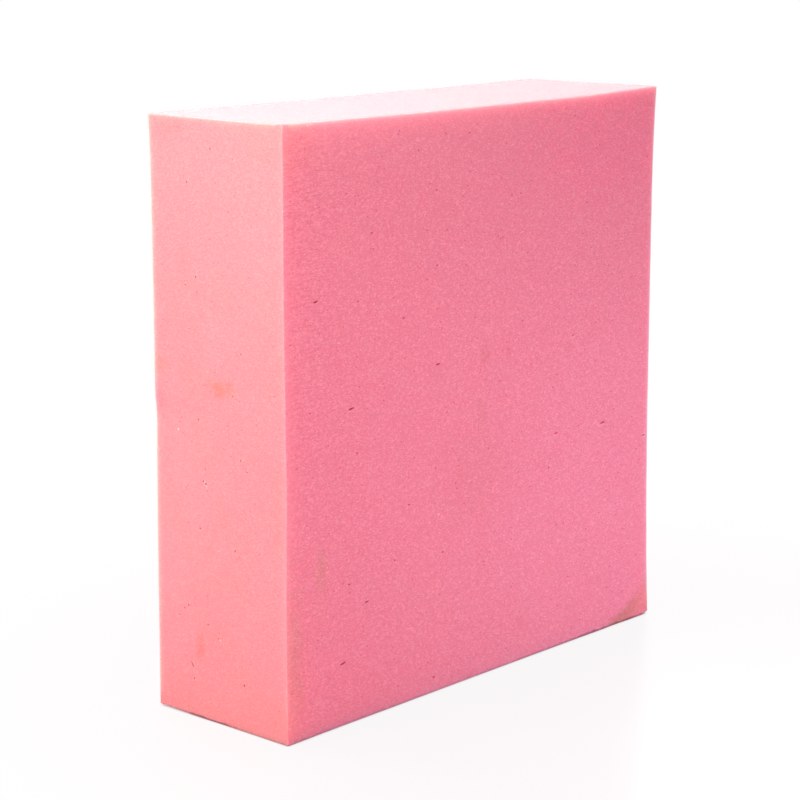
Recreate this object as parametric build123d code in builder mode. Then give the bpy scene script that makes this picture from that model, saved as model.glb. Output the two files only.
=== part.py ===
from build123d import *
import os

# A seat cushion's bare block of pink open-cell foam, knife-cut on every side.
# It stands on its lower edge. Lengths are millimetres, and the origin is the middle of the underside.
# The open broad face looks along -Y, and the open narrow end looks along -X.

# The cut block, over its corners
block_width = 500.0
block_thickness = 152.0
block_height = 508.0
edge_radius = 1.0

# How far the knife drew each open face in: the dish runs across the face, and the waist up it
broad_dish = 1.2
broad_waist = 1.2
end_dish = 0.4
end_waist = 1.8

# Foam beyond the back face, which is cut away to leave that face flat
back_trim = 5.0

# The rubbed corner at the foot of the broad face, measured back from the corner along its three edges
rub_along_width = 7.0
rub_along_thickness = 6.0
rub_up = 2.2

# Blow holes that the knife opened: a run between two round ends, as wide as the hole
pit_run = 5.4
pit_width = 1.5
pit_depth = 3.0
broad_pit_turn = 8.0
end_pit_turn = -60.0

# Where the blow holes lie, seen from in front of each face: across from its left edge, up from its foot,
# and the length of the run
broad_pit_shares = [
    (0.158, 0.531, 1.00),
    (0.849, 0.397, 1.00),
    (0.133, 0.107, 1.00),
    (0.194, 0.199, 0.80),
    (0.074, 0.716, 0.85),
    (0.378, 0.573, 0.80),
    (0.709, 0.400, 0.70),
    (0.980, 0.352, 0.65),
    (0.366, 0.027, 0.55),
    (0.288, 0.663, 0.50),
    (0.756, 0.572, 0.45),
    (0.208, 0.812, 0.45),
    (0.371, 0.867, 0.40),
    (0.689, 0.340, 0.25),
    (0.013, 0.655, 0.25),
]
end_pit_shares = [
    (0.464, 0.951, 0.20),
    (0.337, 0.743, 0.20),
    (0.683, 0.080, 0.25),
    (0.619, 0.303, 0.20),
    (0.665, 0.456, 0.20),
    (0.392, 0.429, 0.20),
    (0.926, 0.572, 0.20),
    (0.271, 0.090, 0.55),
]

half_width = block_width / 2
half_thickness = block_thickness / 2
half_height = block_height / 2

# The planes of the open faces, through their corners, with Z pointing out of the foam
broad_plane = Plane(origin=(0, -half_thickness, half_height), x_dir=(1, 0, 0), z_dir=(0, -1, 0))
end_plane = Plane(origin=(-half_width, 0, half_height), x_dir=(0, -1, 0), z_dir=(-1, 0, 0))
open_faces = [
    (broad_plane, half_width, broad_dish, broad_waist, broad_pit_shares, broad_pit_turn),
    (end_plane, half_thickness, end_dish, end_waist, end_pit_shares, end_pit_turn),
]

# The block: its plan at the foot, at the waist and at the top, with a flat back and rounded edges
with BuildPart() as block:
    for level, waist_share in ((0, 0), (half_height, 1), (block_height, 0)):
        side = half_width - waist_share * end_waist
        front = waist_share * broad_waist - half_thickness
        back = half_thickness + back_trim
        with BuildSketch(Plane.XY.offset(level)):
            with BuildLine():
                ThreePointArc((-side, front), (0, front + broad_dish), (side, front))
                ThreePointArc((side, front), (side - end_dish, 0), (side, back))
                Line((side, back), (-side, back))
                ThreePointArc((-side, back), (end_dish - side, 0), (-side, front))
            make_face()
    loft()
    split(bisect_by=Plane.XZ.offset(-half_thickness), keep=Keep.TOP)
    fillet(block.edges(), edge_radius)

    # The corner is rubbed away along a slant through one point on each of its edges
    corner = Vector(half_width, -half_thickness, 0)
    on_width = corner - Vector(rub_along_width, 0, 0)
    on_thickness = corner + Vector(0, rub_along_thickness, 0)
    on_height = corner + Vector(0, 0, rub_up)
    slant = (on_thickness - on_width).cross(on_height - on_width)
    split(bisect_by=Plane(origin=on_width, x_dir=on_thickness - on_width, z_dir=slant), keep=Keep.BOTTOM)

    # Each blow hole goes square into its face, to one depth below the drawn-in surface
    for face_plane, half_across, dish, waist, pit_shares, turn in open_faces:
        for across_share, up_share, run_share in pit_shares:
            across = 2 * across_share - 1
            up = 2 * up_share - 1
            surface = dish * (1 - across**2) + waist * (1 - up**2)
            with BuildSketch(face_plane):
                with Locations((across * half_across, up * half_height)):
                    SlotCenterToCenter(pit_run * run_share, pit_width, rotation=turn)
            extrude(amount=-surface - pit_depth, mode=Mode.SUBTRACT)

block.part.label = "foam_block"
os.makedirs("parts", exist_ok=True)
export_step(block.part, "parts/foam_block.step")
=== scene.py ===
import math

import bpy
import numpy as np
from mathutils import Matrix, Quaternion, Vector, noise


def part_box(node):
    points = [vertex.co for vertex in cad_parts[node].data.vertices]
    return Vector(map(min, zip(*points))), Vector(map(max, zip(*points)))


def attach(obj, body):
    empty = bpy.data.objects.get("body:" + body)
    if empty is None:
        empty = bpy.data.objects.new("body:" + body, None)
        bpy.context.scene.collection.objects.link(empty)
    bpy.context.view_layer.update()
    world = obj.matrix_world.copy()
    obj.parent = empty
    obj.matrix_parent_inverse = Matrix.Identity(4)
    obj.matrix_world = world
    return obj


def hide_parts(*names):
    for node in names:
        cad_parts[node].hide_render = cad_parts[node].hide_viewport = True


# A seat cushion's bare block of pink open-cell foam, knife-cut on every side.
# It stands on its lower edge. Lengths are metres.
# The open broad face looks along -Y, and the open narrow end looks along -X.

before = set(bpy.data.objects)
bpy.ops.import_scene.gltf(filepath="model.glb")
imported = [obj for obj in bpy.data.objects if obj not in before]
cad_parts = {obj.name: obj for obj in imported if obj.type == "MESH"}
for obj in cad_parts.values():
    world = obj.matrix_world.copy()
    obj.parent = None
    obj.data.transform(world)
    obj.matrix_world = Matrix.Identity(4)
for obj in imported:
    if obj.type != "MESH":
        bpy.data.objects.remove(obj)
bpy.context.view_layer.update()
block_low, block_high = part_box("foam_block")
block_size = block_high - block_low
mm = 0.001

# Noise textures swing about this value
noise_middle = 0.5

# The cut block's mesh: closer lines towards the cut edges, and the turns, in degrees, that round each edge
mesh_spacing = 3.7 * mm
edge_grading = 0.55
edge_radius = 1.0 * mm
edge_turns = (15.0, 30.0, 45.0)

# How far the knife drew the sides in between the corners, and the power that keeps the middle flat
waist_power = 3.0
near_waist = 1.6 * mm
far_waist = 3.8 * mm
far_lean = 6.0 * mm
far_foot = -2.4 * mm
broad_waist = 1.3 * mm
broad_dish = 1.0 * mm
top_dip = 0.9 * mm
near_lift = 0.5 * mm
end_dip = 0.5 * mm

# The upright front edge stands proud, more at its foot than at its head
front_edge_out = 1.9 * mm
front_foot_out = 2.9 * mm
front_head_out = 0.8 * mm
front_hollow = 1.3 * mm
front_hollow_height = 205.0 * mm
front_hollow_reach = 75.0 * mm

# The upright edge at the back of the narrow end: proud above a dent, drawn in below it, flared at its head
dent_height = 266.0 * mm
dent_blend = 3.0 * mm
dent_depth = 0.9 * mm
dent_reach = 90.0 * mm
proud_depth = 0.85 * mm
head_flare = 1.7 * mm
head_reach = 25.0 * mm

# Two dips along the broad face's top edge, at shares of its length
ripple_dip = 0.3 * mm
dip_share = 0.35
dip_spacing_share = 0.43

# The pulled-up corner at the far end of the broad face's top edge
ear_lift = 1.5 * mm
ear_reach = 60.0 * mm

# The worn-off corner at the back foot of the narrow end
worn_lift = 1.3 * mm
worn_reach = 32.0 * mm

# The far foot corner of the broad face: rubbed flat at its tip, and creased where it was once bent back
rub_lengths = Vector((7.0 * mm, 6.0 * mm, 2.2 * mm))
crease_run = 67.0 * mm
crease_rise = 37.0 * mm
crease_power = 1.7
crease_slant = 0.8
crease_width = 6.0 * mm
crease_depth = 0.6 * mm

# The blade's wander, long and short, from one fixed seed
wander_seed = 125
wander_length = 110.0 * mm
wander_depth = 0.35 * mm
flutter_length = 24.0 * mm
flutter_depth = 0.14 * mm
floor_blend = 30.0 * mm

# Blow holes that the knife opened in the broad face: across, up and size as shares
broad_slit_shares = (
    (0.158, 0.531, 1.00), (0.849, 0.397, 1.00), (0.133, 0.107, 1.00), (0.194, 0.199, 0.80),
    (0.074, 0.716, 0.85), (0.378, 0.573, 0.80), (0.709, 0.400, 0.70), (0.980, 0.352, 0.65),
    (0.366, 0.027, 0.55), (0.288, 0.663, 0.50), (0.756, 0.572, 0.45), (0.208, 0.812, 0.45),
    (0.371, 0.867, 0.40), (0.150, 0.238, 0.40), (0.172, 0.455, 0.40), (0.392, 0.244, 0.40),
)
broad_cell_shares = (
    (0.689, 0.340, 1.00), (0.013, 0.655, 1.00), (0.175, 0.705, 0.90), (0.058, 0.539, 0.90),
    (0.303, 0.344, 0.90), (0.266, 0.255, 0.90), (0.394, 0.959, 0.80), (0.324, 0.936, 0.80),
    (0.347, 0.802, 0.80), (0.399, 0.798, 0.80), (0.748, 0.964, 0.80), (0.517, 0.880, 0.80),
    (0.597, 0.841, 0.80), (0.789, 0.808, 0.80), (0.549, 0.770, 0.80), (0.374, 0.741, 0.80),
    (0.369, 0.735, 0.70), (0.858, 0.687, 0.80), (0.476, 0.640, 0.80), (0.608, 0.618, 0.80),
    (0.545, 0.520, 0.80), (0.710, 0.507, 0.80), (0.698, 0.485, 0.80), (0.283, 0.455, 0.80),
    (0.582, 0.141, 0.80), (0.872, 0.079, 0.80), (0.568, 0.031, 0.80), (0.633, 0.315, 0.80),
    (0.503, 0.204, 0.80), (0.455, 0.955, 0.80), (0.426, 0.359, 0.80), (0.302, 0.896, 0.55),
    (0.332, 0.893, 0.55), (0.344, 0.826, 0.55), (0.762, 0.877, 0.55), (0.935, 0.926, 0.55),
    (0.849, 0.918, 0.55), (0.720, 0.989, 0.55), (0.683, 0.927, 0.55), (0.730, 0.863, 0.55),
    (0.351, 0.719, 0.55), (0.158, 0.551, 0.55), (0.635, 0.531, 0.55), (0.930, 0.614, 0.55),
    (0.529, 0.728, 0.55), (0.038, 0.483, 0.55), (0.048, 0.397, 0.55), (0.488, 0.448, 0.55),
    (0.960, 0.251, 0.55), (0.793, 0.390, 0.55), (0.514, 0.421, 0.55), (0.589, 0.394, 0.55),
    (0.035, 0.239, 0.55), (0.047, 0.204, 0.55), (0.040, 0.248, 0.55), (0.260, 0.105, 0.55),
    (0.252, 0.049, 0.55), (0.047, 0.169, 0.55), (0.038, 0.115, 0.55), (0.203, 0.218, 0.55),
    (0.132, 0.204, 0.55), (0.541, 0.036, 0.55), (0.536, 0.148, 0.55), (0.607, 0.090, 0.55),
)
# The same in the narrow end, measured across from its front edge
end_slit_shares = ((0.729, 0.090, 0.85), (0.796, 0.269, 0.40))
end_cell_shares = (
    (0.536, 0.951, 1.00), (0.663, 0.743, 1.00), (0.381, 0.303, 1.00), (0.317, 0.080, 1.10),
    (0.718, 0.895, 0.80), (0.744, 0.728, 0.80), (0.322, 0.630, 0.80), (0.390, 0.559, 0.80),
    (0.074, 0.572, 0.80), (0.660, 0.509, 0.80), (0.608, 0.429, 0.80), (0.335, 0.456, 0.80),
    (0.287, 0.439, 0.80), (0.624, 0.408, 0.80), (0.606, 0.404, 0.80), (0.654, 0.327, 0.80),
    (0.752, 0.190, 0.80), (0.783, 0.184, 0.80), (0.826, 0.170, 0.80), (0.601, 0.166, 0.80),
    (0.516, 0.147, 0.80), (0.714, 0.066, 0.80), (0.367, 0.938, 0.55), (0.738, 0.925, 0.55),
    (0.549, 0.807, 0.55), (0.159, 0.908, 0.55), (0.105, 0.889, 0.55), (0.873, 0.905, 0.55),
    (0.631, 0.752, 0.55), (0.542, 0.707, 0.55), (0.477, 0.676, 0.55), (0.718, 0.657, 0.55),
    (0.480, 0.576, 0.55), (0.597, 0.393, 0.55), (0.491, 0.143, 0.55), (0.385, 0.202, 0.55),
    (0.230, 0.162, 0.55), (0.258, 0.063, 0.55), (0.521, 0.053, 0.55), (0.769, 0.015, 0.55),
)
slit_run = 7.2 * mm
slit_width = 1.7 * mm
cell_run = 2.2 * mm
cell_width = 1.6 * mm
broad_slit_turn = math.radians(9.0)
end_slit_turn = math.radians(-60.0)
pit_depth_share = 1.3
pit_roughness_share = 0.45
pit_ragged_size = 1.3 * mm
pit_rim_angle = math.radians(40.0)
pit_search = 12.0 * mm
egg_segments = 10
egg_rings = 6

# Seeded pits on the other sides, so many to a square metre: most are short, and a few as long as a slit
open_side_limit = 0.5
stray_density = 260.0
stray_seed = 11
stray_size_power = 6
stray_run_share = 0.25
stray_width_share = 0.45

# Foam colours, as linear light
foam_colour = (0.850, 0.260, 0.320, 1.0)
# The pits' colours are painted shade, darkest in the pits of the narrow end
pit_shade_colour = (0.78, 0.088, 0.150, 1.0)
end_pit_shade_colour = (0.22, 0.070, 0.090, 1.0)
end_pit_shade_reach = 4.0 * mm
fleck_colour = (0.98, 0.62, 0.62, 1.0)

# How squarely a surface has to face an open side to take that side's marks, or the top to lose its pale
# fuzz and painted glow
lean_start = 0.5
lean_full = 0.8
top_lean = 0.3

# The cells: their size, how far the cut draws them out sideways, and how much they change each colour
cell_size = 1.0 * mm
cell_draw_share = 0.56
grain_shares = (0.20, 0.70, 0.52)
end_grain_share = 0.65
top_grain_share = 0.55
fine_weight = 0.72
tone_weight = 0.52
tone_power = 3
tone_middle = 1 / (tone_power + 1)

# Coarse cells: the share of pale and of dark ones, and how far they stand out
speck_share = 0.005
pale_speck_weight = 0.45
dark_speck_weight = 0.5

# Wide blushes of colour, stronger on the narrow end than on the broad face
blush_size = 48.0 * mm
blush_weight = 0.07
blush_limits = (0.42, 0.68)
blush_broad_share = 0.15
blush_tint = (1.0, 0.975, 0.955, 1.0)

# The foam's surface, and the light that passes through it
foam_roughness = 0.88
roughness_swing = 0.3
foam_specular = 0.2
bump_strength = 0.30
bump_height = 0.5 * mm
glow_weight = 0.6
glow_shares = (1.0, 0.42, 0.38)
glow_reach = 18.0 * mm

# Pale fuzz along the cut edges, partly torn fuzz and partly painted glow: least at the upright front edge,
# and widest under the broad face's top
fuzz_and_glow_colour = (0.98, 0.62, 0.635, 1.0)
fuzz_and_glow_reach = 2.0 * mm
fuzz_and_glow_share = 0.50
front_fuzz_and_glow_reach = 5.0 * mm
front_fuzz_and_glow_share = 0.16
far_fuzz_and_glow_reach = 2.0 * mm
far_fuzz_and_glow_share = 0.45
top_fuzz_and_glow_reach = 3.0 * mm
top_fuzz_and_glow_share = 0.50
# The wide band under the broad face's top is painted glow, stronger towards the near end
top_glow_reach = 15.0 * mm
top_glow_shares = (0.02, 0.24)
end_fuzz_and_glow_reach = 2.2 * mm
end_fuzz_and_glow_share = 0.30
end_front_fuzz_and_glow_reach = 1.6 * mm
end_front_fuzz_and_glow_share = 0.14
fuzz_and_glow_foot_limits = (4.0 * mm, 25.0 * mm)

# Near the upright front edge, less pale fuzz and painted glow, and painted shade on its rounded edge;
# painted shade on the rounded top edge over the narrow end
near_front_fade_limits = (3.0 * mm, 12.0 * mm)
near_front_fade_share = 0.12
front_edge_shade_limits = (2.5 * mm, 0.5 * mm)
front_edge_shade_tint = (1.0, 0.93, 0.95, 1.0)
rim_shade_side_limits = (0.2, 0.5)
rim_shade_top_limits = (0.98, 0.85)
rim_shade_limits = (4.0 * mm, 1.0 * mm)
rim_shade_tint = (1.0, 0.88, 0.90, 1.0)

# Painted contact shade along the foot: most on the broad face's far half, and on a patch behind the narrow
# end's middle
foot_shade_height = 3.0 * mm
foot_shade_core_share = 0.3
foot_shade_tint = (0.46, 0.41, 0.46, 1.0)
broad_foot_shade_limits = (0.0, 0.8 * block_high.x)
broad_foot_shade_share = 0.25
end_foot_shade_place = 0.13 * block_size.y
end_foot_shade_limits = (0.35 * block_size.y, 0.10 * block_size.y)
end_foot_shade_share = 0.12

# Painted warm light above the broad face's foot, and painted shade above the narrow end's foot
foot_glow_reach = 45.0 * mm
foot_glow_tint = (1.21, 1.03, 1.04, 1.0)
foot_glow_far_share = 0.7
end_low_shade_reach = 24.0 * mm
end_low_shade_tint = (0.72, 0.955, 0.88, 1.0)

# Streaks that the blade left beside the upright front edge
streak_length = 12.0 * mm
streak_height = 1.2 * mm
streak_reach = 80.0 * mm
streak_core_share = 0.3
streak_rise_share = 0.3
streak_low_share = 0.4
streak_weight = 0.8

# Handling marks, and patches of painted light: across, up, half width, half height and strength as shares
broad_smudge_shares = (
    (0.502, 0.571, 0.018, 0.024, 0.70), (0.567, 0.570, 0.013, 0.016, 0.40),
    (0.497, 0.477, 0.014, 0.020, 0.40), (0.606, 0.070, 0.016, 0.018, 0.40),
)
broad_smear_shares = (
    (0.082, 0.276, 0.016, 0.042, 0.75), (0.497, 0.477, 0.018, 0.028, 0.25),
    (0.012, 0.110, 0.030, 0.200, 0.65),
)
broad_dust_shares = ((0.480, 0.370, 0.120, 0.110, 1.00),)
# Painted warm light at the upper front corner, and painted light at the upper right
broad_warm_light_shares = ((0.000, 1.000, 0.100, 0.110, 1.00),)
broad_upper_right_light_shares = ((0.850, 0.900, 0.250, 0.120, 1.00),)
end_orange_shares = ((0.480, 0.567, 0.110, 0.018, 1.00), (0.950, 0.590, 0.060, 0.020, 0.50))
end_brown_shares = ((0.658, 0.122, 0.045, 0.030, 0.70),)
# A darker patch beside the dent in the narrow end's back edge
end_dent_patch_shares = ((0.985, 0.525, 0.060, 0.045, 0.80),)
# Painted light: a paler patch low on the narrow end's back half, and warm light at its upper front corner
end_pale_light_shares = ((0.900, 0.320, 0.550, 0.260, 1.00),)
end_warm_light_shares = ((0.000, 1.000, 0.450, 0.100, 0.60),)
smudge_tint = (0.92, 0.84, 0.79, 1.0)
smear_tint = (0.87, 1.03, 0.80, 1.0)
orange_tint = (1.0, 0.84, 0.70, 1.0)
brown_tint = (0.68, 0.76, 0.66, 1.0)
dent_patch_tint = (0.97, 0.88, 0.98, 1.0)
# The pale, rosy and warm tints are painted light
pale_light_tint = (1.0, 1.07, 1.06, 1.0)
upper_right_light_tint = (1.06, 0.95, 1.0, 1.0)
dust_tint = (0.965, 0.955, 0.925, 1.0)
warm_light_tint = (1.0, 1.0, 0.90, 1.0)
broad_stains = (
    (broad_smudge_shares, smudge_tint), (broad_smear_shares, smear_tint), (broad_upper_right_light_shares, upper_right_light_tint),
    (broad_dust_shares, dust_tint), (broad_warm_light_shares, warm_light_tint),
)
end_stains = (
    (end_orange_shares, orange_tint), (end_brown_shares, brown_tint), (end_dent_patch_shares, dent_patch_tint),
    (end_pale_light_shares, pale_light_tint), (end_warm_light_shares, warm_light_tint),
)

# How the marks fade out, in half sizes from their middle, and how ragged their rims are
stain_limits = (1.25, 0.1)
stain_ragged_share = 1.4
ragged_size = 9.0 * mm

# A darker brownish band along the crease, and painted shading of the corner bent back beyond it: the band's
# end limits are shares of the run, and its upper and lower ones widths
crease_tint = (0.73, 0.85, 0.65, 1.0)
bent_corner_shading_tint = (1.03, 1.0, 0.92, 1.0)
crease_ragged = 5.0 * mm
crease_end_limits = (0.9, 1.2)
crease_end_lift = 4.0
band_upper_limits = (1.3, -0.3)
band_lower_limits = (-2.6, -0.3)
band_lower_share = 0.35
band_height_limits = (30.0 * mm, 3.0 * mm)
band_high_share = 0.30

# Lint on the cut faces: across, up and size as shares
broad_fleck_shares = (
    (0.381, 0.312, 1.0), (0.055, 0.995, 1.1), (0.062, 0.996, 1.0), (0.655, 0.993, 0.9),
)
end_fleck_shares = ((0.820, 0.486, 1.2),)
fleck_size = 1.1 * mm
fleck_core_share = 0.5
fleck_cover_share = 0.8

# The surround, and a floor that turns white away from the block
white = (1.0, 1.0, 1.0, 1.0)
surround_colour = (1.0, 0.853, 0.853, 1.0)
surround_strength = 0.1055
floor_reach = 8.0
# The floor's lit colour is a pink that stands in for pink bounce light on the block's foot, and tints the
# floor near the block faintly pink
floor_bounce_colour = (0.40, 0.25, 0.34, 1.0)
floor_roughness = 0.25
sweep_middle = (0.06, -0.12, 0.0)
sweep_limits = (0.30, 0.62)
sweep_near_share = 0.905
contact_reach = 4.0 * mm
contact_samples = 4
contact_limits = (0.40, 0.8)
contact_share = 0.5

# Lamps: name, place, aim, width, height, colour and watts
lamps = (
    ("front_softbox", (-1.2, -0.94, 1.06), (-0.1, -0.05, 0.35), 0.5, 0.5, (1.0, 0.915, 0.938), 20.36),
    ("warm_key", (-1.2, 0.3, 1.2), (-0.25, 0.0, 0.35), 0.7, 0.7, (0.981, 0.74, 0.488), 25.0),
    ("low_card", (0.24, -0.59, 0.08), (0.15, -0.08, 0.15), 0.5, 0.12, (0.696, 0.75, 1.0), 1.78),
    ("top_bank", (-0.2, 0.7, 2.0), (0.0, 0.0, 0.4), 1.0, 1.0, (1.0, 0.90, 0.796), 57.0),
    ("far_fill", (1.7, 0.6, 1.1), (0.25, 0.0, 0.25), 0.8, 0.8, (1.0, 0.853, 0.853), 25.3),
)

# The camera, fitted to the block's corners
camera_lens = 109.895
camera_sensor = 36.0
camera_place = (-1.6122, -1.4043, 0.6901)
camera_azimuth = math.radians(-48.489)
camera_elevation = math.radians(11.898)
camera_roll = math.radians(0.153)


class Signal:
    """An output socket of a node tree. Plain arithmetic on it adds the Math nodes that it needs."""

    def __init__(self, tree, socket=None):
        self.tree = tree
        self.socket = socket

    def node(self, kind, settings=None, sockets=None, output=0):
        """Adds a node: its settings first, then a value or a link for each named socket."""
        made = self.tree.nodes.new(kind)
        for name, value in (settings or {}).items():
            setattr(made, name, value)
        for name, value in (sockets or {}).items():
            if isinstance(value, Signal):
                self.tree.links.new(value.socket, made.inputs[name])
            else:
                made.inputs[name].default_value = value
        return Signal(self.tree, made.outputs[output] if made.outputs else None)

    def outlet(self, name):
        """Another output of the same node."""
        return Signal(self.tree, self.socket.node.outputs[name])

    def math(self, operation, first, second=0.0):
        return self.node("ShaderNodeMath", {"operation": operation}, {0: first, 1: second})

    def __add__(self, other):
        return self.math("ADD", self, other)

    def __radd__(self, other):
        return self.math("ADD", other, self)

    def __sub__(self, other):
        return self.math("SUBTRACT", self, other)

    def __rsub__(self, other):
        return self.math("SUBTRACT", other, self)

    def __mul__(self, other):
        return self.math("MULTIPLY", self, other)

    def __rmul__(self, other):
        return self.math("MULTIPLY", other, self)

    def __truediv__(self, other):
        return self.math("DIVIDE", self, other)

    def __rtruediv__(self, other):
        return self.math("DIVIDE", other, self)

    def __pow__(self, other):
        return self.math("POWER", self, other)

    def __rpow__(self, other):
        return self.math("POWER", other, self)

    def __abs__(self):
        return self.math("ABSOLUTE", self)

    def __gt__(self, other):
        return self.math("GREATER_THAN", self, other)

    def __lt__(self, other):
        return self.math("LESS_THAN", self, other)


def cut_lines(low, high):
    """Grid lines along one side of the block, and the lines that round its two edges over."""
    flat_low = low + edge_radius
    flat_high = high - edge_radius
    even = np.linspace(-1.0, 1.0, round((flat_high - flat_low) / mesh_spacing) + 1)
    graded = even + edge_grading * np.sin(math.pi * even) / math.pi
    flat = flat_low + (flat_high - flat_low) * (graded + 1) / 2
    rounding = edge_radius * np.tan(np.radians(edge_turns))
    return np.concatenate([flat_low - rounding[::-1], flat, flat_high + rounding])


def side_quads(sheet, turned):
    """Quads over one side's sheet of vertex numbers, wound so that they face outwards."""
    corners = [sheet[:-1, :-1], sheet[1:, :-1], sheet[1:, 1:], sheet[:-1, 1:]]
    if turned:
        corners.reverse()
    return np.stack([corner.ravel() for corner in corners], axis=1)


def rounded_block():
    """Vertices and quads of the block with its edges rounded over, before the knife's drift."""
    low = np.array(block_low)
    high = np.array(block_high)
    lines = [cut_lines(low[axis], high[axis]) for axis in range(3)]
    lattice = np.stack(np.meshgrid(*lines, indexing="ij"), axis=-1)
    outside = np.zeros(lattice.shape[:3], bool)
    for axis in range(3):
        np.moveaxis(outside, axis, 0)[[0, -1]] = True
    number = np.full(outside.shape, -1)
    number[outside] = np.arange(outside.sum())
    flat = lattice[outside]
    side_gaps = np.sort(np.minimum(flat - low, high - flat), axis=1)
    inner = np.clip(flat, low + edge_radius, high - edge_radius)
    step = flat - inner
    points = inner + edge_radius * step / np.linalg.norm(step, axis=1, keepdims=True)
    quads = np.concatenate([
        side_quads(number[0], True),
        side_quads(number[-1], False),
        side_quads(number[:, 0], False),
        side_quads(number[:, -1], True),
        side_quads(number[:, :, 0], True),
        side_quads(number[:, :, -1], False),
    ])
    return points, quads, flat, side_gaps[:, 1]


def knife_drift(points):
    """Moves the block's points as the real cuts drifted. The underside stays flat on the floor."""
    half = np.array(block_size) / 2
    middle = np.array(block_low) + half
    across, depth, height = ((points - middle) / half).T
    up = (height + 1) / 2
    waist = 1 - np.abs(height) ** waist_power
    bowed = 1 - np.abs(across) ** waist_power
    near = np.clip(-across, 0, 1)
    far = np.clip(across, 0, 1)
    front = np.clip(-depth, 0, 1)
    rear = np.clip(depth, 0, 1)
    nearness = (1 - across) / 2
    moved = points.copy()

    # The narrow end and the far end
    above = points[:, 2] - (block_low.z + dent_height)
    over_dent = 1 / (1 + np.exp(-above / dent_blend))
    dent = dent_depth * (1 - over_dent) * np.exp(np.minimum(above, 0) / dent_reach)
    flare = head_flare * np.exp((points[:, 2] - block_high.z) / head_reach)
    moved[:, 0] += near * near_waist * waist * up
    hollow = front_hollow * np.exp(-((points[:, 2] - front_hollow_height) / front_hollow_reach) ** 2)
    moved[:, 0] += near * front * (hollow - front_edge_out)
    moved[:, 0] += near * rear * (dent - proud_depth * over_dent - flare)
    moved[:, 0] -= far * (far_waist * waist + far_foot + far_lean * up)

    # The broad face
    moved[:, 1] += front * (broad_waist * waist + broad_dish * bowed)
    moved[:, 1] -= front * nearness * (front_foot_out + (front_head_out - front_foot_out) * up)

    # The top, and the worn corner at the foot
    ear_gap = np.hypot(block_high.x - points[:, 0], points[:, 1] - block_low.y) / ear_reach
    dips = np.cos(2 * math.pi * ((1 - nearness) - dip_share) / dip_spacing_share)
    sag = top_dip * bowed + ripple_dip * front * bowed * dips
    end_rise = near * (near_lift - end_dip * (1 - depth ** 2))
    moved[:, 2] += up * (ear_lift * np.exp(-ear_gap ** 2) + end_rise - sag)
    corner = np.array((block_low.x, block_high.y, block_low.z))
    worn_gap = np.linalg.norm(points - corner, axis=1) / worn_reach
    moved[:, 2] += worn_lift * np.exp(-worn_gap ** 2)

    noise.seed_set(wander_seed)
    wander = np.array([noise.noise_vector(Vector(p) / wander_length) for p in points])
    flutter = np.array([noise.noise_vector(Vector(p) / flutter_length) for p in points])
    drift = wander_depth * wander + flutter_depth * flutter
    drift[:, 2] *= np.clip(points[:, 2] / floor_blend, 0, 1)
    return moved + drift


def creased_corner(points):
    """Presses the crease across the far foot of the broad face."""
    back = np.clip((block_high.x - points[:, 0]) / crease_run, 0, 1)
    gap = crease_slant * (points[:, 2] - block_low.z - crease_rise * (1 - back) ** crease_power)
    front = np.clip(2 * points[:, 1] / block_low.y - 1, 0, 1)
    inboard = np.sqrt(np.sin(math.pi * back))
    pressed = points.copy()
    pressed[:, 1] += front * inboard * crease_depth * np.exp(-(gap / crease_width) ** 2)
    return pressed


def rubbed_corner(points):
    """Flattens the corner at the far foot of the broad face."""
    corner = np.array((block_high.x, block_low.y, block_low.z))
    inward = np.array((-1.0, 1.0, 1.0))
    normal = 1 / np.array(rub_lengths)
    beyond = np.clip(1 - ((points - corner) * inward) @ normal, 0, None) / np.linalg.norm(normal)
    return points + beyond[:, None] * inward * normal / np.linalg.norm(normal)


def new_mesh_object(name, points, faces):
    mesh = bpy.data.meshes.new(name)
    mesh.from_pydata(points, [], faces)
    made = bpy.data.objects.new(name, mesh)
    bpy.context.scene.collection.objects.link(made)
    return made


def block_object():
    points, quads, flat, edge_gaps = rounded_block()
    points = rubbed_corner(creased_corner(knife_drift(points)))
    block = new_mesh_object("foam_cushion", points.tolist(), quads.tolist())
    edge_gap = block.data.attributes.new("edge_gap", "FLOAT", "POINT")
    edge_gap.data.foreach_set("value", edge_gaps.astype(np.float32))
    flat_place = block.data.attributes.new("flat_place", "FLOAT_VECTOR", "POINT")
    flat_place.data.foreach_set("vector", flat.astype(np.float32).ravel())
    return block


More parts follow.
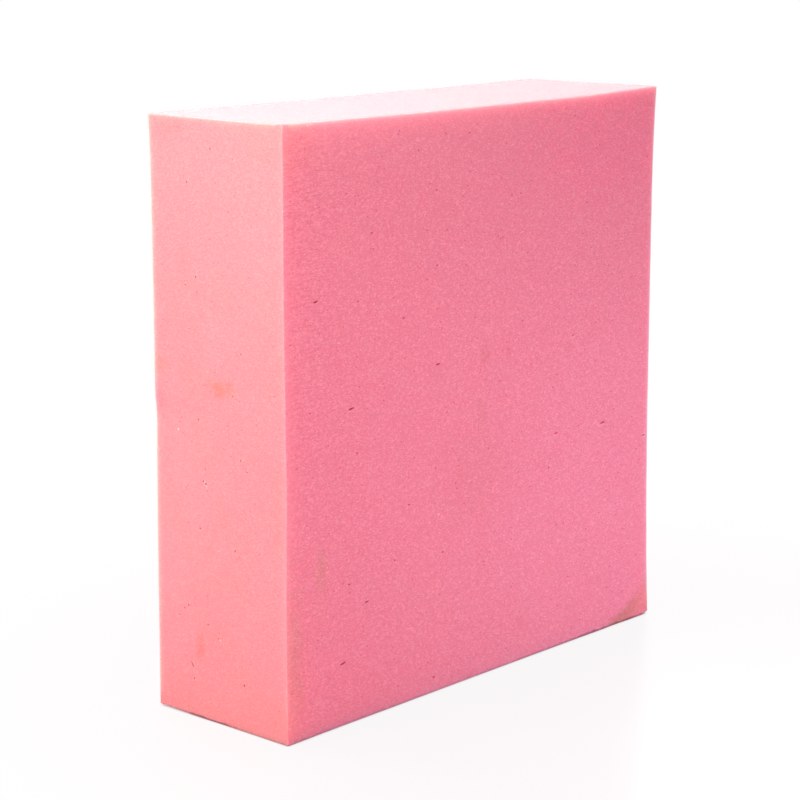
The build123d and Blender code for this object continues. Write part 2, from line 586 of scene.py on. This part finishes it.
def pit_marks():
    """A point for each pit that shows on the two open faces, with its size and its direction."""
    places, along, facing, runs, widths = [], [], [], [], []

    def mark(place, direction, outward, run, width):
        places.append(place)
        along.append(direction)
        facing.append(outward)
        runs.append(run)
        widths.append(width)

    def broad_mark(across_share, up_share, run, width, turn):
        x = block_low.x + across_share * block_size.x
        z = block_low.z + up_share * block_size.z
        mark((x, block_low.y, z), (math.cos(turn), 0, math.sin(turn)), (0, -1, 0), run, width)

    def end_mark(back_share, up_share, run, width, turn):
        y = block_low.y + back_share * block_size.y
        z = block_low.z + up_share * block_size.z
        mark((block_low.x, y, z), (0, -math.cos(turn), math.sin(turn)), (-1, 0, 0), run, width)

    for across_share, up_share, size_share in broad_slit_shares:
        width = slit_width * (1 + size_share) / 2
        broad_mark(across_share, up_share, slit_run * size_share, width, broad_slit_turn)
    for across_share, up_share, size_share in broad_cell_shares:
        broad_mark(across_share, up_share, cell_run * size_share, cell_width * size_share, broad_slit_turn)
    for back_share, up_share, size_share in end_slit_shares:
        end_mark(back_share, up_share, slit_run * size_share, slit_width * size_share, end_slit_turn)
    for back_share, up_share, size_share in end_cell_shares:
        end_mark(back_share, up_share, cell_run * size_share, cell_width * size_share, end_slit_turn)

    marks = new_mesh_object("pit_marks", places, [])
    for name, kind, key, values in (
        ("run", "FLOAT", "value", runs),
        ("width", "FLOAT", "value", widths),
        ("along", "FLOAT_VECTOR", "vector", along),
        ("facing", "FLOAT_VECTOR", "vector", facing),
    ):
        attribute = marks.data.attributes.new(name, kind, "POINT")
        attribute.data.foreach_set(key, np.array(values, np.float32).ravel())
    return marks


def pit_tree():
    """Cuts a pit at each mark, and at seeded places on the sides that the marks leave out."""
    tree = bpy.data.node_groups.new("cut_pits", "GeometryNodeTree")
    for name, kind in (
        ("Block", "Geometry"), ("Marks", "Object"), ("Foam", "Material"), ("Stray density", "Float"),
        ("Stray run", "Float"), ("Stray width", "Float"), ("Stray seed", "Int"),
    ):
        tree.interface.new_socket(name, in_out="INPUT", socket_type="NodeSocket" + kind)
    tree.interface.new_socket("Block", in_out="OUTPUT", socket_type="NodeSocketGeometry")
    g = Signal(tree)
    entry = tree.nodes.new("NodeGroupInput")

    def given(name):
        return Signal(tree, entry.outputs[name])

    def field(name, kind):
        return g.node("GeometryNodeInputNamedAttribute", {"data_type": kind}, {"Name": name})

    def store(geometry, name, kind, value, domain="POINT"):
        sockets = {"Geometry": geometry, "Name": name, "Value": value}
        return g.node("GeometryNodeStoreNamedAttribute", {"data_type": kind, "domain": domain}, sockets)

    def between(low, high, seed):
        sockets = {2: low, 3: high, "Seed": seed}
        return g.node("FunctionNodeRandomValue", {"data_type": "FLOAT"}, sockets, output=1)

    # Seeded pits keep to the back, the far end, the top and the underside
    facing = g.node("GeometryNodeInputNormal")
    side = g.node("ShaderNodeSeparateXYZ", None, {0: facing})
    hidden = (side > -open_side_limit) * (side.outlet("Y") > -open_side_limit)
    seed = given("Stray seed")
    scatter = g.node("GeometryNodeDistributePointsOnFaces", {"distribute_method": "RANDOM"}, {
        "Mesh": given("Block"), "Selection": hidden, "Density": given("Stray density"), "Seed": seed,
    })
    strays = store(scatter, "facing", "FLOAT_VECTOR", scatter.outlet("Normal"))
    anyway = g.node("FunctionNodeRandomValue", {"data_type": "FLOAT_VECTOR"}, {
        0: (-1.0, -1.0, -1.0), 1: (1.0, 1.0, 1.0), "Seed": seed + 1,
    })
    strays = store(strays, "along", "FLOAT_VECTOR", anyway)
    size = between(0.0, 1.0, seed + 2)
    large = size ** stray_size_power
    strays = store(strays, "run", "FLOAT", given("Stray run") * (stray_run_share + large))
    stray_width = given("Stray width") * (stray_width_share + (1 - stray_width_share) * large)
    strays = store(strays, "width", "FLOAT", stray_width)

    # Marks are set down on the cut face under them
    marks = g.node("GeometryNodeObjectInfo", None, {"Object": given("Marks")}, output="Geometry")
    marks = g.node("GeometryNodeMeshToPoints", None, {"Mesh": marks})
    outward = field("facing", "FLOAT_VECTOR")
    lifted = g.node("ShaderNodeVectorMath", {"operation": "MULTIPLY_ADD"}, {
        0: outward, 1: (pit_search,) * 3, 2: g.node("GeometryNodeInputPosition"),
    })
    inward = g.node("ShaderNodeVectorMath", {"operation": "SCALE"}, {0: outward, "Scale": -1.0})
    landed = g.node("GeometryNodeRaycast", None, {
        "Target Geometry": given("Block"), "Source Position": lifted, "Ray Direction": inward,
        "Ray Length": 2 * pit_search,
    }, output="Hit Position")
    marks = g.node("GeometryNodeSetPosition", None, {"Geometry": marks, "Position": landed})
    points = tree.nodes.new("GeometryNodeJoinGeometry")
    tree.links.new(marks.socket, points.inputs[0])
    tree.links.new(strays.socket, points.inputs[0])
    points = Signal(tree, points.outputs[0])

    # One cutter for each point: an uneven egg, as long and as wide as the pit
    egg = g.node("GeometryNodeMeshUVSphere", None, {
        "Segments": egg_segments, "Rings": egg_rings, "Radius": 0.5,
    })
    run = field("run", "FLOAT")
    width = field("width", "FLOAT")
    turn = g.node("FunctionNodeAxesToRotation", {"primary_axis": "Z", "secondary_axis": "X"}, {
        0: field("facing", "FLOAT_VECTOR"), 1: field("along", "FLOAT_VECTOR"),
    })
    depth = width * (2 * pit_depth_share)
    scale = g.node("ShaderNodeCombineXYZ", None, {"X": run, "Y": width, "Z": depth})
    cutters = g.node("GeometryNodeInstanceOnPoints", None, {
        "Points": points, "Instance": egg, "Rotation": turn, "Scale": scale,
    })
    cutters = g.node("GeometryNodeRealizeInstances", None, {"Geometry": cutters})
    rough = g.node("ShaderNodeTexNoise", None, {"Scale": 1 / pit_ragged_size, "Detail": 1.0}, output=1)
    rough = g.node("ShaderNodeVectorMath", {"operation": "SUBTRACT"}, {0: rough, 1: (noise_middle,) * 3})
    rough = g.node("ShaderNodeVectorMath", {"operation": "SCALE"}, {
        0: rough, "Scale": width * (2 * pit_roughness_share),
    })
    cutters = g.node("GeometryNodeSetPosition", None, {"Geometry": cutters, "Offset": rough})
    cutters = store(cutters, "pit", "FLOAT", 1.0, "FACE")
    plain = store(given("Block"), "pit", "FLOAT", 0.0, "FACE")
    cut = g.node("GeometryNodeMeshBoolean", {"operation": "DIFFERENCE", "solver": "EXACT"}, {
        "Mesh 1": plain, "Mesh 2": cutters,
    })

    # Rims stay crisp, and the rest is smooth
    cut = g.node("GeometryNodeSetShadeSmooth", {"domain": "FACE"}, {"Geometry": cut, "Shade Smooth": True})
    bend = g.node("GeometryNodeInputMeshEdgeAngle")
    cut = g.node("GeometryNodeSetShadeSmooth", {"domain": "EDGE"}, {
        "Geometry": cut, "Selection": bend > pit_rim_angle, "Shade Smooth": False,
    })
    cut = g.node("GeometryNodeRealizeInstances", None, {"Geometry": cut})
    cut = g.node("GeometryNodeSetMaterial", None, {"Geometry": cut, "Material": given("Foam")})
    leave = tree.nodes.new("NodeGroupOutput")
    tree.links.new(cut.socket, leave.inputs["Block"])
    return tree


def cut_pits(block, marks, foam):
    """Runs the pit tree on the block, and keeps the result as a plain mesh."""
    tree = pit_tree()
    modifier = block.modifiers.new("cut_pits", "NODES")
    modifier.node_group = tree
    values = {
        "Marks": marks, "Foam": foam, "Stray density": stray_density, "Stray run": slit_run,
        "Stray width": slit_width, "Stray seed": stray_seed,
    }
    for item in tree.interface.items_tree:
        if item.in_out == "INPUT" and item.name in values:
            modifier[item.identifier] = values[item.name]
    depsgraph = bpy.context.evaluated_depsgraph_get()
    finished = bpy.data.meshes.new_from_object(block.evaluated_get(depsgraph))
    block.modifiers.clear()
    block.data = finished
    bpy.data.objects.remove(marks)


def new_material(name):
    material = bpy.data.materials.new(name)
    material.use_nodes = True
    material.node_tree.nodes.clear()
    return material, Signal(material.node_tree)


def ramp(s, value, start, end, low=0.0, high=1.0):
    """A smooth step from low to high as value goes from start to end."""
    return s.node("ShaderNodeMapRange", {"interpolation_type": "SMOOTHSTEP"}, {
        "Value": value, "From Min": start, "From Max": end, "To Min": low, "To Max": high,
    })


def tinted(s, colour, mask, tint):
    """The colour multiplied by a tint where the mask is 1."""
    return s.node("ShaderNodeMix", {"data_type": "RGBA", "blend_type": "MULTIPLY"}, {
        0: mask, 6: colour, 7: tint,
    }, output=2)


def painted(s, colour, mask, paint):
    """The colour replaced by a paint where the mask is 1."""
    return s.node("ShaderNodeMix", {"data_type": "RGBA"}, {0: mask, 6: colour, 7: paint}, output=2)


def scaled_colour(colour, shares):
    return tuple(c * k for c, k in zip(colour, (*shares, 1.0)))


def patches(s, vector, size):
    """Soft noise with patches of about one size."""
    return s.node("ShaderNodeTexNoise", None, {"Vector": vector, "Scale": 1 / size, "Detail": 1.0})


def stretched(s, place, scale):
    return s.node("ShaderNodeVectorMath", {"operation": "MULTIPLY"}, {0: place, 1: scale})


def fading(s, gap, reach, share):
    """A share that is whole at an edge and dies away over a reach from it."""
    return s.math("EXPONENT", gap * (-1 / reach)) * share


class FoamPlace:
    """Where a point lies on the foam: its place, the side that it is on, and its gaps to the cut edges."""

    def __init__(self, s):
        self.place = s.node("ShaderNodeTexCoord", output="Object")
        self.x = s.node("ShaderNodeSeparateXYZ", None, {0: self.place})
        self.y = self.x.outlet("Y")
        self.z = self.x.outlet("Z")

        facing = s.node("ShaderNodeNewGeometry", output="Normal")
        facing_x = s.node("ShaderNodeSeparateXYZ", None, {0: facing})
        self.facing_up = facing_x.outlet("Z")
        self.on_end = ramp(s, facing_x, -lean_start, -lean_full)
        self.on_broad = ramp(s, facing_x.outlet("Y"), -lean_start, -lean_full)
        self.off_top = ramp(s, self.facing_up, lean_full, top_lean)

        # Each open side: the way across it, where that starts, how long it is, and the side's mask
        self.broad = (self.x, block_low.x, block_size.x, self.on_broad)
        self.end = (self.y, block_low.y, block_size.y, self.on_end)

        # Gaps are measured on the block before the knife's drift
        flat = s.node("ShaderNodeAttribute", {"attribute_name": "flat_place"}, output="Vector")
        flat_x = s.node("ShaderNodeSeparateXYZ", None, {0: flat})
        flat_y = flat_x.outlet("Y")
        self.near_gap = flat_x - block_low.x
        self.far_gap = block_high.x - flat_x
        self.front_gap = flat_y - block_low.y
        self.back_gap = block_high.y - flat_y
        self.top_gap = block_high.z - flat_x.outlet("Z")
        self.edge_gap = s.node("ShaderNodeAttribute", {"attribute_name": "edge_gap"}, output="Fac")

        self.in_pit = s.node("ShaderNodeAttribute", {"attribute_name": "pit"}, output="Fac")
        self.ragged = patches(s, self.place, ragged_size) - noise_middle

    def off_mark(self, side, across_share, up_share):
        """How far a point is from a mark on an open side, across and up."""
        across, side_low, side_size, _ = side
        off_across = across - (side_low + across_share * side_size)
        off_up = self.z - (block_low.z + up_share * block_size.z)
        return off_across, off_up


def foam_grain(s, at):
    """The colour of the cut cells, and the fine noise that also roughens them."""
    drawn = stretched(s, at.place, (cell_draw_share, cell_draw_share, 1.0))
    cells = s.node("ShaderNodeTexVoronoi", None, {"Vector": drawn, "Scale": 1 / cell_size})
    cell_tone = s.node("ShaderNodeSeparateColor", None, {0: cells.outlet("Color")})
    fine = patches(s, drawn, cell_size) - noise_middle
    grain = fine * fine_weight + (cell_tone ** tone_power - tone_middle) * tone_weight

    # Here and there a coarse cell
    speck_tone = cell_tone.outlet("Green")
    pale_speck = (speck_tone > 1 - speck_share) * pale_speck_weight
    dark_speck = (speck_tone < speck_share) * dark_speck_weight
    grain = grain + (pale_speck - dark_speck)
    calm = at.on_end * (1 - end_grain_share) + (1 - at.off_top) * (1 - top_grain_share)
    grain = grain * (1 - calm)

    # Streaks beside the upright front edge, most of all near the top
    streak_place = stretched(s, at.place, (streak_height / streak_length, 1.0, 1.0))
    streaks = patches(s, streak_place, streak_height) - noise_middle
    streak_mask = ramp(s, at.x - block_low.x, streak_reach, streak_core_share * streak_reach)
    high_up = ramp(s, at.z, streak_rise_share * block_high.z, block_high.z, streak_low_share)
    grain = grain + streaks * streak_mask * high_up * at.on_broad * streak_weight

    blush = patches(s, at.place, blush_size)
    grain = grain + (blush - noise_middle) * blush_weight

    # The middle of this mix is the plain foam colour
    dark = scaled_colour(foam_colour, [1 - share for share in grain_shares])
    light = scaled_colour(foam_colour, [1 + share for share in grain_shares])
    colour = s.node("ShaderNodeMix", {"data_type": "RGBA", "clamp_factor": False}, {
        0: (grain + 1) / 2, 6: dark, 7: light,
    }, output=2)
    blush_share = blush_broad_share + (1 - blush_broad_share) * at.on_end
    return tinted(s, colour, ramp(s, blush, *blush_limits) * blush_share, blush_tint), fine


def torn_edges_and_edge_light(s, at, colour):
    """Pale fuzz and painted glow along the cut edges, and painted shade on the rounded front edge and on
    the narrow end's rounded top edge.
    """
    front_edge_gap = at.near_gap + at.front_gap
    near_front_fade = ramp(s, front_edge_gap, *near_front_fade_limits, near_front_fade_share)
    # The wide band under the broad face's top is painted glow, stronger towards the near end
    top_glow_share = ramp(s, at.x, block_high.x, block_low.x, *top_glow_shares)
    broad_fuzz_and_glow = fading(s, at.top_gap, top_fuzz_and_glow_reach, top_fuzz_and_glow_share) * near_front_fade
    broad_fuzz_and_glow = broad_fuzz_and_glow + fading(s, at.top_gap, top_glow_reach, top_glow_share)
    broad_fuzz_and_glow = broad_fuzz_and_glow + fading(s, at.near_gap, front_fuzz_and_glow_reach, front_fuzz_and_glow_share)
    broad_fuzz_and_glow = broad_fuzz_and_glow + fading(s, at.far_gap, far_fuzz_and_glow_reach, far_fuzz_and_glow_share)
    end_fuzz_and_glow = fading(s, at.back_gap, end_fuzz_and_glow_reach, end_fuzz_and_glow_share)
    end_fuzz_and_glow = end_fuzz_and_glow + fading(s, at.front_gap, end_front_fuzz_and_glow_reach, end_front_fuzz_and_glow_share)
    fuzz_and_glow = fading(s, at.edge_gap, fuzz_and_glow_reach, fuzz_and_glow_share) * near_front_fade * at.off_top
    fuzz_and_glow = fuzz_and_glow + broad_fuzz_and_glow * at.on_broad + end_fuzz_and_glow * at.on_end
    fuzz_and_glow = s.math("MINIMUM", fuzz_and_glow, 1.0) * ramp(s, at.z, *fuzz_and_glow_foot_limits)
    colour = painted(s, colour, fuzz_and_glow, fuzz_and_glow_colour)

    # Painted shade on the rounded upright front edge and on the narrow end's rounded top edge
    colour = tinted(s, colour, ramp(s, front_edge_gap, *front_edge_shade_limits), front_edge_shade_tint)
    rim_shade = ramp(s, at.facing_up, *rim_shade_side_limits) * ramp(s, at.facing_up, *rim_shade_top_limits)
    return tinted(s, colour, rim_shade * ramp(s, at.near_gap, *rim_shade_limits), rim_shade_tint)


def foot_shade_and_light(s, at, colour):
    """Painted contact shade along the foot, painted warm light above the broad face's foot, and painted
    shade above the narrow end's.
    """
    along_broad = ramp(s, at.x, *broad_foot_shade_limits, broad_foot_shade_share) * at.on_broad
    off_patch = abs(at.y - end_foot_shade_place)
    along_end = ramp(s, off_patch, *end_foot_shade_limits, end_foot_shade_share) * at.on_end
    height = at.z + at.ragged * foot_shade_height
    # A dark line along the foot: painted contact shade
    contact_shade = ramp(s, height, foot_shade_height, foot_shade_core_share * foot_shade_height)
    colour = tinted(s, colour, contact_shade * s.math("MAXIMUM", along_broad, along_end), foot_shade_tint)
    # Painted warm light above the broad face's foot, weaker towards the far end, and painted shade above
    # the narrow end's foot
    foot_glow_share = ramp(s, at.x, block_high.x, block_low.x, foot_glow_far_share)
    colour = tinted(s, colour, fading(s, at.z, foot_glow_reach, foot_glow_share) * at.on_broad, foot_glow_tint)
    return tinted(s, colour, fading(s, at.z, end_low_shade_reach, 1.0) * at.on_end, end_low_shade_tint)


def stained(s, at, colour, side, shares, tint):
    """Tints a ragged oval at each mark on one open side."""
    _, _, side_size, on_side = side
    for across, up, half_width, half_height, strength in shares:
        off_across, off_up = at.off_mark(side, across, up)
        a = off_across / (half_width * side_size)
        b = off_up / (half_height * block_size.z)
        reach = (a * a + b * b) ** 0.5 + at.ragged * stain_ragged_share
        colour = tinted(s, colour, ramp(s, reach, *stain_limits) * on_side * strength, tint)
    return colour


def crease_band_and_corner(s, at, colour):
    """A darker brownish band along the crease, most of it at the foot, and painted shading of the corner
    bent back beyond it. Heights are in widths of the crease.
    """
    back = (block_high.x - at.x) / crease_run
    line = crease_rise * s.math("MAXIMUM", 1 - back, 0.0) ** crease_power
    above = (at.z - block_low.z - line) * crease_slant + at.ragged * crease_ragged
    above = above / crease_width + ramp(s, back, *crease_end_limits) * crease_end_lift
    band = ramp(s, above, *band_upper_limits) * ramp(s, above, *band_lower_limits, band_lower_share)
    band = band * ramp(s, at.z, *band_height_limits, band_high_share)
    colour = tinted(s, colour, band * at.on_broad, crease_tint)
    # Painted shading of the corner bent back beyond the crease
    return tinted(s, colour, ramp(s, above, 1.0, -1.0) * at.on_broad, bent_corner_shading_tint)


def linted(s, at, colour, side, shares):
    """Lint at each mark on one open side."""
    on_side = side[-1]
    for across, up, size in shares:
        a, b = at.off_mark(side, across, up)
        reach = (a * a + b * b) ** 0.5 / (fleck_size * size)
        cover = ramp(s, reach, 1.0, fleck_core_share) * on_side * fleck_cover_share
        colour = painted(s, colour, cover, fleck_colour)
    return colour


def foam_material():
    """Pink open-cell foam: fine cells drawn out along the cut, painted shade in the pits, handling marks,
    and painted light and shade on the cut faces.
    """
    material, s = new_material("pink_foam")
    at = FoamPlace(s)
    colour, fine = foam_grain(s, at)
    colour = torn_edges_and_edge_light(s, at, colour)
    colour = foot_shade_and_light(s, at, colour)
    for shares, tint in broad_stains:
        colour = stained(s, at, colour, at.broad, shares, tint)
    for shares, tint in end_stains:
        colour = stained(s, at, colour, at.end, shares, tint)
    colour = crease_band_and_corner(s, at, colour)
    colour = linted(s, at, colour, at.broad, broad_fleck_shares)
    colour = linted(s, at, colour, at.end, end_fleck_shares)
    # The pits take painted shade, darker on the narrow end
    pit_shade = painted(s, pit_shade_colour, at.x < block_low.x + end_pit_shade_reach, end_pit_shade_colour)
    colour = painted(s, colour, at.in_pit, pit_shade)

    bump = s.node("ShaderNodeBump", None, {
        "Strength": bump_strength, "Distance": bump_height, "Height": fine,
    })
    shader = s.node("ShaderNodeBsdfPrincipled", {"subsurface_method": "RANDOM_WALK"}, {
        "Base Color": colour, "Roughness": foam_roughness + roughness_swing * fine, "Normal": bump,
        "Specular IOR Level": foam_specular, "Subsurface Weight": glow_weight,
        "Subsurface Radius": glow_shares, "Subsurface Scale": glow_reach,
    })
    s.node("ShaderNodeOutputMaterial", None, {"Surface": shader})
    return material


def soft_lamp(name, place, aim, width, height, colour, watts):
    data = bpy.data.lights.new(name, "AREA")
    data.shape = "RECTANGLE"
    data.size = width
    data.size_y = height
    data.color = colour
    data.energy = watts
    lamp = bpy.data.objects.new(name, data)
    bpy.context.scene.collection.objects.link(lamp)
    lamp.location = place
    lamp.rotation_euler = (Vector(aim) - Vector(place)).to_track_quat("-Z", "Y").to_euler()


def studio_world():
    """A dim even surround, which camera, glossy and transmission rays see as white."""
    world = bpy.data.worlds.new("studio")
    world.use_nodes = True
    world.node_tree.nodes.clear()
    s = Signal(world.node_tree)
    path = s.node("ShaderNodeLightPath", output="Is Camera Ray")
    seen = s.math("MAXIMUM", path, path.outlet("Is Glossy Ray"))
    seen = s.math("MAXIMUM", seen, path.outlet("Is Transmission Ray"))
    dim = s.node("ShaderNodeBackground", None, {"Color": surround_colour, "Strength": surround_strength})
    bright = s.node("ShaderNodeBackground", None, {"Color": white, "Strength": 1.0})
    mixed = s.node("ShaderNodeMixShader", None, {0: seen, 1: dim, 2: bright})
    s.node("ShaderNodeOutputWorld", None, {"Surface": mixed})
    bpy.context.scene.world = world


def floor_material():
    """A pale sweep that keeps the block's shadow and a faint reflection, and turns white away from it."""
    material, s = new_material("pale_floor")
    seen = s.node("ShaderNodeLightPath", output="Is Camera Ray")
    place = s.node("ShaderNodeTexCoord", output="Object")
    away = s.node("ShaderNodeVectorMath", {"operation": "DISTANCE"}, {
        0: place, 1: sweep_middle,
    }, output="Value")
    open_sky = s.node("ShaderNodeAmbientOcclusion", {"samples": contact_samples}, {
        "Distance": contact_reach,
    }, output="AO")
    clear = ramp(s, away, *sweep_limits, sweep_near_share)
    clear = clear * ramp(s, open_sky, *contact_limits, contact_share)
    lit = s.node("ShaderNodeBsdfPrincipled", None, {
        "Base Color": floor_bounce_colour, "Roughness": floor_roughness,
    })
    bright = s.node("ShaderNodeEmission", None, {"Color": white, "Strength": 1.0})
    mixed = s.node("ShaderNodeMixShader", None, {0: seen * clear, 1: lit, 2: bright})
    s.node("ShaderNodeOutputMaterial", None, {"Surface": mixed})
    return material


def studio_floor():
    r = floor_reach
    floor = new_mesh_object("floor", [(-r, -r, 0), (r, -r, 0), (r, r, 0), (-r, r, 0)], [(0, 1, 2, 3)])
    floor.data.materials.append(floor_material())


def photo_camera():
    data = bpy.data.cameras.new("camera")
    data.lens = camera_lens
    data.sensor_width = camera_sensor
    camera = bpy.data.objects.new("camera", data)
    bpy.context.scene.collection.objects.link(camera)
    back = Vector((
        math.sin(camera_azimuth) * math.cos(camera_elevation),
        -math.cos(camera_azimuth) * math.cos(camera_elevation),
        math.sin(camera_elevation),
    ))
    roll = Quaternion((0.0, 0.0, 1.0), camera_roll)
    camera.location = camera_place
    camera.rotation_euler = ((-back).to_track_quat("-Z", "Y") @ roll).to_euler()
    bpy.context.scene.camera = camera


bpy.context.scene.view_settings.view_transform = "Standard"
photo_camera()
studio_world()
studio_floor()
for lamp in lamps:
    soft_lamp(*lamp)

foam = foam_material()
foam_cushion = block_object()
cut_pits(foam_cushion, pit_marks(), foam)

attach(foam_cushion, "root")
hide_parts("foam_block")
